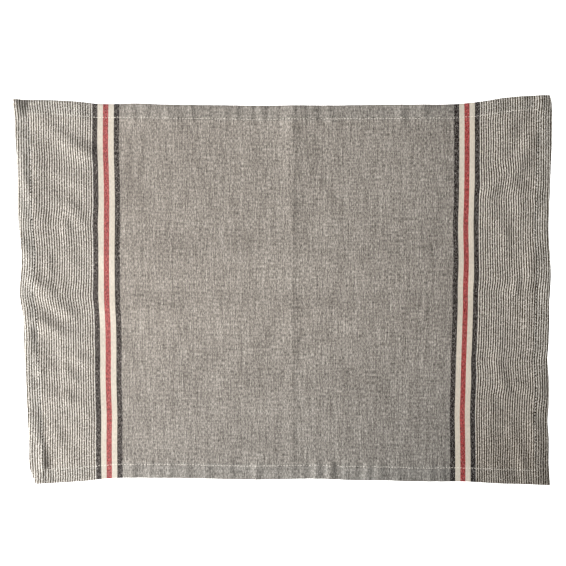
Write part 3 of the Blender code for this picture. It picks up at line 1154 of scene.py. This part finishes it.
    def build(self) -> bpy.types.Object:
        """Model the cloth.

        Returns:
            The finished piece.
        """
        length, depth = self.lay.length, self.lay.depth
        columns, rows = self.lines(length, True), self.lines(depth, False)
        bpy.ops.object.select_all(action="DESELECT")
        bpy.ops.mesh.primitive_grid_add(
            x_subdivisions=len(columns) - 1, y_subdivisions=len(rows) - 1, size=1.0)
        cloth = bpy.context.object
        cloth.name = cloth.data.name = "placemat_cloth"
        mesh = cloth.data
        while mesh.uv_layers:
            mesh.uv_layers.remove(mesh.uv_layers[0])

        grid = self.coordinates(mesh)
        across = columns[np.rint((grid[:, 0] + 0.5) * (len(columns) - 1)).astype(int)]
        up = rows[np.rint((grid[:, 1] + 0.5) * (len(rows) - 1)).astype(int)]
        for name, values in (("across", across), ("up", up), ("ring", np.zeros(len(grid)))):
            add_numbers(mesh, name, values)
        mesh.vertices.foreach_set("co", self.face_point(across, up).ravel())
        mesh.update()

        self.turn_hems(cloth)
        self.write_lay(mesh)
        for name in ("across", "up", "ring"):
            mesh.attributes.remove(mesh.attributes[name])

        wall = cloth.modifiers.new("thickness", "SOLIDIFY")
        wall.thickness = self.thickness
        wall.offset = 0.0
        select_only(cloth)
        bpy.ops.object.modifier_apply(modifier=wall.name)
        mesh.shade_smooth()
        mesh.materials.append(self.finish.material(self.lay, self.seam))
        return cloth

    @staticmethod
    def coordinates(mesh: bpy.types.Mesh) -> np.ndarray:
        """Read where a mesh's points are.

        Args:
            mesh: The mesh.

        Returns:
            Rows of x, y and z.
        """
        flat = np.empty(len(mesh.vertices) * 3, dtype=np.float32)
        mesh.vertices.foreach_get("co", flat)
        return flat.reshape(-1, 3).astype(float)

    @staticmethod
    def numbers(mesh: bpy.types.Mesh, name: str) -> np.ndarray:
        """Read a point attribute.

        Args:
            mesh: The mesh.
            name: The attribute's name.

        Returns:
            Its value at each point.
        """
        values = np.empty(len(mesh.vertices), dtype=np.float32)
        mesh.attributes[name].data.foreach_get("value", values)
        return values.astype(float)

    def turn_hems(self, cloth: bpy.types.Object) -> None:
        """Extend the cloth past its four edges, line by line, and fold it under twice.

        The corners are mitred: each line of the turned cloth is a smaller rectangle.

        Args:
            cloth: The flat cloth's piece.
        """
        mesh = cloth.data
        select_only(cloth)
        bpy.ops.object.mode_set(mode="EDIT")
        bpy.ops.mesh.select_mode(type="EDGE")
        bpy.ops.mesh.select_all(action="DESELECT")
        bpy.ops.mesh.select_non_manifold()
        bpy.ops.object.mode_set(mode="OBJECT")
        start = self.turn_start()
        size = np.array((self.lay.length, self.lay.depth))
        for ring, (inset, height) in enumerate(self.hem_turns(), start=1):
            bpy.ops.object.mode_set(mode="EDIT")
            bpy.ops.mesh.extrude_edges_move()
            bpy.ops.object.mode_set(mode="OBJECT")
            picked = np.empty(len(mesh.vertices), dtype=bool)
            mesh.vertices.foreach_get("select", picked)
            source = np.stack((self.numbers(mesh, "across"), self.numbers(mesh, "up")), axis=1)
            share = (source[picked] - start) / (size - 2.0 * start)
            plan = inset + (size - 2.0 * inset) * share
            x, y, rise = self.on_mat(plan[:, 0], plan[:, 1])
            points = self.coordinates(mesh)
            points[picked] = np.stack((x, y, rise + height), axis=1)
            mesh.vertices.foreach_set("co", points.astype(np.float32).ravel())
            rings = self.numbers(mesh, "ring")
            rings[picked] = ring
            mesh.attributes["ring"].data.foreach_set("value", rings.astype(np.float32))
            mesh.update()

    def write_lay(self, mesh: bpy.types.Mesh) -> None:
        """Write the cloth's lay as a UV map, and mark the hem's layers.

        Past an edge the cloth runs on for the length of the turned path, so that its stripes go
        round the fold.

        Args:
            mesh: The cloth's mesh, its hems turned.
        """
        start = self.turn_start()
        points = self.coordinates(mesh)
        across, up = self.numbers(mesh, "across"), self.numbers(mesh, "up")
        ring = np.rint(self.numbers(mesh, "ring")).astype(int)
        steps = np.array([(start, self.top_height), *self.hem_turns()])
        run = np.concatenate(([0.0], np.cumsum(np.hypot(*np.diff(steps, axis=0).T))))[ring]

        yarn = self.lay.on_cloth(points[:, 0], points[:, 1])
        size = np.array((self.lay.length, self.lay.depth))
        inset = np.where(ring > 0, steps[ring, 0], 0.0)
        share_up = (up - start) / (size[1] - 2.0 * start)
        share_across = (across - start) / (size[0] - 2.0 * start)
        plan_up = np.where(ring > 0, inset + (size[1] - 2.0 * inset) * share_up, up)
        plan_across = np.where(ring > 0, inset + (size[0] - 2.0 * inset) * share_across, across)
        edge_x, edge_y = self.lay.place(
            np.where(share_across < 0.5, start, size[0] - start) / size[0], plan_up / size[1])
        edge_yarn = self.lay.on_cloth(edge_x, edge_y)

        loops = np.empty(len(mesh.loops), dtype=np.int32)
        mesh.loops.foreach_get("vertex_index", loops)
        starts = np.empty(len(mesh.polygons), dtype=np.int32)
        mesh.polygons.foreach_get("loop_start", starts)
        turned = np.maximum.reduceat(ring[loops], starts) > 0
        at_left = np.maximum.reduceat(share_across[loops], starts) < self.edge_share
        at_right = np.minimum.reduceat(share_across[loops], starts) > 1.0 - self.edge_share
        at_front = np.maximum.reduceat(share_up[loops], starts) < self.edge_share
        at_end = at_left | at_right
        face = np.repeat(np.arange(len(starts)), np.diff(np.append(starts, len(loops))))

        outward = np.where(at_left[face], -1.0, 1.0)
        u = np.where((turned & at_end)[face], edge_yarn[loops] + outward * run[loops], yarn[loops])
        edge_v = np.where(at_front[face], start - run[loops], size[1] - start + run[loops])
        v = np.where((turned & ~at_end)[face], edge_v, plan_up[loops]) - 0.5 * size[1]
        for name, pair in ((LAY_MAP, (u, v)), (SEAM_MAP, (plan_across[loops], plan_up[loops]))):
            layer = mesh.uv_layers.new(name=name)
            layer.uv.foreach_set("vector", np.stack(pair, axis=1).astype(np.float32).ravel())

        edge_gap = np.minimum.reduce([across, size[0] - across, up, size[1] - up])
        hemmed = (ring > 0) | (edge_gap < self.hem_width)
        add_numbers(mesh, HEM_MARK, hemmed)


@dataclass(frozen=True)
class HemStitching:
    """The row of topstitches round the mat, one row seen on each face."""

    cloth: HemmedCloth
    finish: SewingThread
    stitch_share: float = 0.78      # share of the pitch that shows as thread
    thread: float = 0.00040         # thickness of the thread
    sink: float = 0.00022           # how far a stitch's ends dive into the cloth
    end_sink: float = 0.00021       # along the short ends they lie deeper, between two warp yarns
    wander: float = 0.00020         # how far stitches stray from their line
    proud: tuple = (-0.05, 0.32)    # how far they stand out, as shares of the thread's thickness
    spans: tuple = (0.85, 1.15)     # how short and long they are, around the usual one
    slim: float = 0.55              # how much thinner a stitch gets to its ends, and how late
    slim_power: int = 4
    sink_power: int = 3             # how late it dives
    flatness: float = 0.8           # height of the thread beside its width
    look: float = 0.25              # a stitch's way is read this share of its pitch to each side
    first_seed: int = 20            # draws how the stitches of a row differ
    sides: int = 6
    rings: int = 7

    def one_stitch(self) -> tuple[np.ndarray, list]:
        """Model one stitch along X, its ends tapered and drawn down.

        Returns:
            Its points and faces.
        """
        span = self.cloth.seam.pitch * self.stitch_share
        bpy.ops.object.select_all(action="DESELECT")
        bpy.ops.mesh.primitive_cylinder_add(
            vertices=self.sides, radius=0.5 * self.thread, depth=span,
            end_fill_type="TRIFAN", rotation=(0.0, 0.5 * math.pi, 0.0))
        stitch = bpy.context.object
        bpy.ops.object.transform_apply(location=True, rotation=True, scale=True)
        bpy.ops.object.mode_set(mode="EDIT")
        for cut in range(1, self.rings):
            place = span * (cut / self.rings - 0.5)
            bpy.ops.mesh.select_all(action="SELECT")
            bpy.ops.mesh.bisect(plane_co=(place, 0.0, 0.0), plane_no=(1.0, 0.0, 0.0))
        bpy.ops.mesh.select_all(action="SELECT")
        bpy.ops.mesh.normals_make_consistent(inside=False)
        bpy.ops.object.mode_set(mode="OBJECT")
        points = HemmedCloth.coordinates(stitch.data)
        end = np.abs(points[:, 0]) / (0.5 * span)
        slim = 1.0 - self.slim * end ** self.slim_power
        points[:, 1] *= slim
        points[:, 2] = points[:, 2] * slim * self.flatness - self.sink * end ** self.sink_power
        faces = [tuple(face.vertices) for face in stitch.data.polygons]
        bpy.data.objects.remove(stitch, do_unlink=True)
        return points, faces

    def rows(self) -> list[np.ndarray]:
        """Mark out the four straight rows of stitches on the flat mat.

        Returns:
            For each side of the mat, the middle of each stitch: rows of across and up.
        """
        inset = self.cloth.seam.inset
        length, depth = self.cloth.lay.length, self.cloth.lay.depth
        corners = [(inset, inset), (length - inset, inset),
                   (length - inset, depth - inset), (inset, depth - inset)]
        rows = []
        for start, end in zip(corners, corners[1:] + corners[:1]):
            count = self.cloth.seam.count(math.dist(start, end) + 2.0 * inset)
            share = (np.arange(count) + 0.5) / count
            rows.append(np.array(start) + share[:, None] * (np.array(end) - np.array(start)))
        return rows

    def surface(self, plan: np.ndarray, side: Side) -> np.ndarray:
        """Points of the cloth's surface under the stitches.

        Args:
            plan: Places on the flat mat: rows of across and up.
            side: Which face.

        Returns:
            Rows of x, y and z.
        """
        across, up = plan[:, 0], plan[:, 1]
        if side is Side.FACE:
            points = self.cloth.face_point(across, up)
            points[:, 2] += 0.5 * self.cloth.thickness
            return points
        x, y, rise = self.cloth.on_mat(across, up)
        low = self.cloth.bottom_height - 0.5 * self.cloth.thickness
        return np.stack((x, y, rise + low), axis=1)

    def build(self, side: Side) -> bpy.types.Object:
        """Sew the four rows on one face.

        Args:
            side: Which face.

        Returns:
            One piece with all the stitches.
        """
        model, faces = self.one_stitch()
        seed = np.random.default_rng(self.first_seed + side.value)
        points, all_faces = [], []
        for plan in self.rows():
            step = np.gradient(plan, axis=0)
            ahead = self.surface(plan + self.look * step, side)
            behind = self.surface(plan - self.look * step, side)
            middle = 0.5 * (ahead + behind)
            forward = ahead - behind
            forward /= np.linalg.norm(forward, axis=1)[:, None]
            sideways = np.cross((0.0, 0.0, 1.0), forward)
            sideways /= np.linalg.norm(sideways, axis=1)[:, None]
            upward = np.cross(forward, sideways) * side.value
            drift = seed.normal(0.0, self.wander, len(plan))
            proud = self.thread * seed.uniform(*self.proud, len(plan))
            if abs(step[0, 1]) > abs(step[0, 0]):
                proud -= self.end_sink
            spans = seed.uniform(*self.spans, len(plan))
            for at, way, aside, out, off, high, span in zip(
                    middle, forward, sideways, upward, drift, proud, spans):
                base = len(points) * len(model)
                points.append(at + aside * off + out * high + model[:, :1] * way * span
                              + model[:, 1:2] * aside + model[:, 2:] * out)
                all_faces += [tuple(base + i for i in face) for face in faces]
        if side is Side.UNDERSIDE:
            all_faces = [face[::-1] for face in all_faces]
        mesh = bpy.data.meshes.new(f"hem_stitches_{side.name.lower()}")
        mesh.from_pydata(np.concatenate(points).tolist(), [], all_faces)
        mesh.shade_smooth()
        mesh.materials.append(self.finish.material())
        piece = bpy.data.objects.new(mesh.name, mesh)
        bpy.context.scene.collection.objects.link(piece)
        return piece


class Lamp(NamedTuple):
    """A square soft light: where it hangs, its side, its power in watts."""

    name: str
    place: tuple
    size: float
    power: float


@dataclass(frozen=True)
class Studio:
    """Plain pale table, low light from the front left, a weak one from the back right.

    The camera looks straight down.
    """

    top: PaleTable
    lamps: tuple = (Lamp("key", (-1.110, -0.400, 0.430), 0.25, 25.6),
                    Lamp("fill", (0.209, 0.162, 0.750), 0.16, 3.46))
    sky: float = 0.10                   # even light from all round
    sky_colour: Colour = (1.0, 1.0, 1.0, 1.0)
    view_width: float = 0.527           # what the picture shows at the mat
    view_centre: tuple = (0.0007, 0.0070)
    lens: float = 85.0
    sensor: float = 36.0
    floor_size: float = 180.0

    def build(self) -> None:
        """Set up floor, camera, lights and world."""
        bpy.ops.object.select_all(action="DESELECT")
        bpy.ops.mesh.primitive_plane_add(size=self.floor_size, location=(0.0, 0.0, 0.0))
        floor = bpy.context.object
        floor.name = floor.data.name = "table_top"
        floor.data.materials.append(self.top.material())

        camera = bpy.data.objects.new("camera", bpy.data.cameras.new("camera"))
        camera.data.lens = self.lens
        camera.data.sensor_width = self.sensor
        camera.location = (*self.view_centre, self.view_width * self.lens / self.sensor)
        bpy.context.scene.collection.objects.link(camera)
        bpy.context.scene.camera = camera

        for lamp in self.lamps:
            self.hang(lamp)
        world = bpy.data.worlds.new("studio")
        bpy.context.scene.world = world
        world.use_nodes = True
        background = world.node_tree.nodes["Background"]
        background.inputs["Color"].default_value = self.sky_colour
        background.inputs["Strength"].default_value = self.sky
        bpy.context.scene.view_settings.view_transform = "Standard"
        bpy.context.scene.view_settings.look = "High Contrast"

    @staticmethod
    def hang(lamp: Lamp) -> None:
        """Hang a light, turned to the mat's middle.

        Args:
            lamp: The light.
        """
        bulb = bpy.data.lights.new(lamp.name, "AREA")
        bulb.size = lamp.size
        bulb.energy = lamp.power
        light = bpy.data.objects.new(lamp.name, bulb)
        light.location = x, y, z = lamp.place
        light.rotation_euler = (math.atan2(math.hypot(x, y), z), 0.0, math.atan2(-x, y) + math.pi)
        bpy.context.scene.collection.objects.link(light)


def main() -> None:
    """Build the pieces in order, dress them and tie them to the frame."""
    logging.basicConfig(level=logging.INFO, format="%(message)s")
    lay = MatLay()
    cloth = HemmedCloth(lay, StripedLinen())
    sheet = cloth.build()
    LOG.info("%s: %d faces", sheet.name, len(sheet.data.polygons))
    stitching = HemStitching(cloth, SewingThread())
    for side in Side:
        row = stitching.build(side)
        LOG.info("%s: %d faces", row.name, len(row.data.polygons))
        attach(row, BODY)
    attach(sheet, BODY)
    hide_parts(NODE)
    Studio(PaleTable()).build()


if __name__ == "__main__":
    main()
